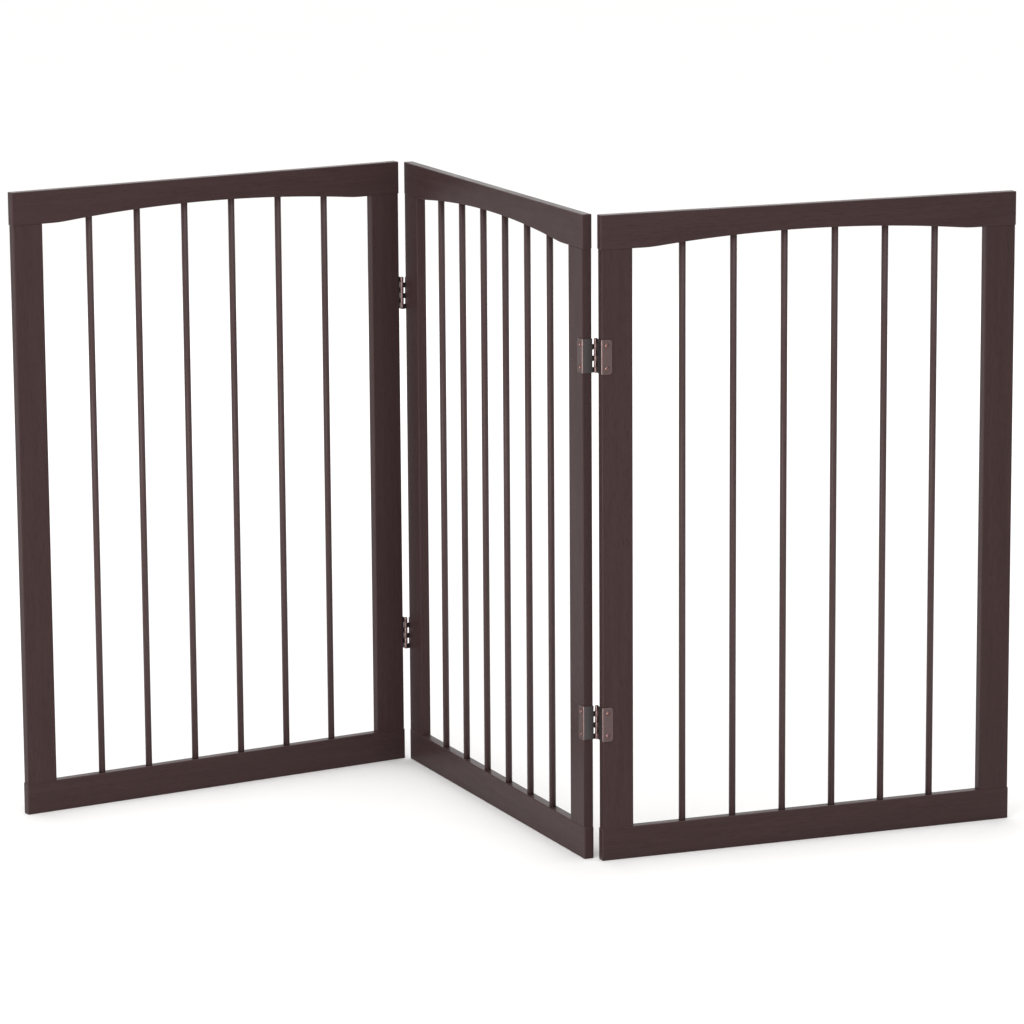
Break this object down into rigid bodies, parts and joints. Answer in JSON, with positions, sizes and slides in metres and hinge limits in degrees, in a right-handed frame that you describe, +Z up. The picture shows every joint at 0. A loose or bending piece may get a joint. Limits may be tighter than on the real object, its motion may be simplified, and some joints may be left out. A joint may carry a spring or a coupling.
{
  "type": "pet gate",
  "caption": "Free-standing folding wooden gate of slatted panels with arched top rails and slim round bars, hinged in a zigzag so that it stands across a doorway and folds flat.",
  "frame": {"origin": "centre of the underside of the middle panel's bottom rail, on the floor", "axes": "+Z up; +X along the line that the open gate closes off, from the left panel to the right; +Y to the far side of the gate; the middle panel stands turned from +X by its zigzag angle"},
  "size_m": [1.1918, 0.5015, 0.762],
  "materials": {
    "stained_wood": "dark espresso stain under a satin lacquer, with eased edges",
    "bare_wood": "plain unfinished hardwood dowel",
    "hinge_metal": "antique copper-bronze plating, satin, with brighter rubbed edges",
    "pin_metal": "antique copper-bronze plating, satin",
    "screw_metal": "antique copper plating, satin, domed cross-drive heads"
  },
  "bodies": {
    "middle_panel": {"left_lower_hinge_middle_leaf": "hinge_metal", "left_lower_hinge_middle_screws": "screw_metal", "left_lower_hinge_pin": "pin_metal", "left_upper_hinge_middle_leaf": "hinge_metal", "left_upper_hinge_middle_screws": "screw_metal", "left_upper_hinge_pin": "pin_metal", "middle_panel_bar_1": "stained_wood", "middle_panel_bar_2": "stained_wood", "middle_panel_bar_3": "stained_wood", "middle_panel_bar_4": "stained_wood", "middle_panel_bar_5": "stained_wood", "middle_panel_bar_6": "stained_wood", "middle_panel_bottom_rail": "stained_wood", "middle_panel_corner_dowels": "bare_wood", "middle_panel_left_stile": "stained_wood", "middle_panel_right_stile": "stained_wood", "middle_panel_top_rail": "stained_wood", "right_lower_hinge_middle_leaf": "hinge_metal", "right_lower_hinge_middle_screws": "screw_metal", "right_lower_hinge_pin": "pin_metal", "right_upper_hinge_middle_leaf": "hinge_metal", "right_upper_hinge_middle_screws": "screw_metal", "right_upper_hinge_pin": "pin_metal"},
    "left_panel": {"left_lower_hinge_side_leaf": "hinge_metal", "left_lower_hinge_side_screws": "screw_metal", "left_panel_bar_1": "stained_wood", "left_panel_bar_2": "stained_wood", "left_panel_bar_3": "stained_wood", "left_panel_bar_4": "stained_wood", "left_panel_bar_5": "stained_wood", "left_panel_bar_6": "stained_wood", "left_panel_bottom_rail": "stained_wood", "left_panel_corner_dowels": "bare_wood", "left_panel_left_stile": "stained_wood", "left_panel_right_stile": "stained_wood", "left_panel_top_rail": "stained_wood", "left_upper_hinge_side_leaf": "hinge_metal", "left_upper_hinge_side_screws": "screw_metal"},
    "right_panel": {"right_lower_hinge_side_leaf": "hinge_metal", "right_lower_hinge_side_screws": "screw_metal", "right_panel_bar_1": "stained_wood", "right_panel_bar_2": "stained_wood", "right_panel_bar_3": "stained_wood", "right_panel_bar_4": "stained_wood", "right_panel_bar_5": "stained_wood", "right_panel_bar_6": "stained_wood", "right_panel_bottom_rail": "stained_wood", "right_panel_corner_dowels": "bare_wood", "right_panel_left_stile": "stained_wood", "right_panel_right_stile": "stained_wood", "right_panel_top_rail": "stained_wood", "right_upper_hinge_side_leaf": "hinge_metal", "right_upper_hinge_side_screws": "screw_metal"}
  },
  "joints": [
    {"name": "left_fold", "type": "hinge", "parent": "middle_panel", "child": "left_panel", "pos_m": [-0.11625, 0.23602, 0.381], "axis": [0, 0, 1], "range_deg": [-96.4, 83.6]},
    {"name": "right_fold", "type": "hinge", "parent": "middle_panel", "child": "right_panel", "pos_m": [0.11625, -0.23602, 0.381], "axis": [0, 0, 1], "range_deg": [-86.2, 93.8]}
  ]
}
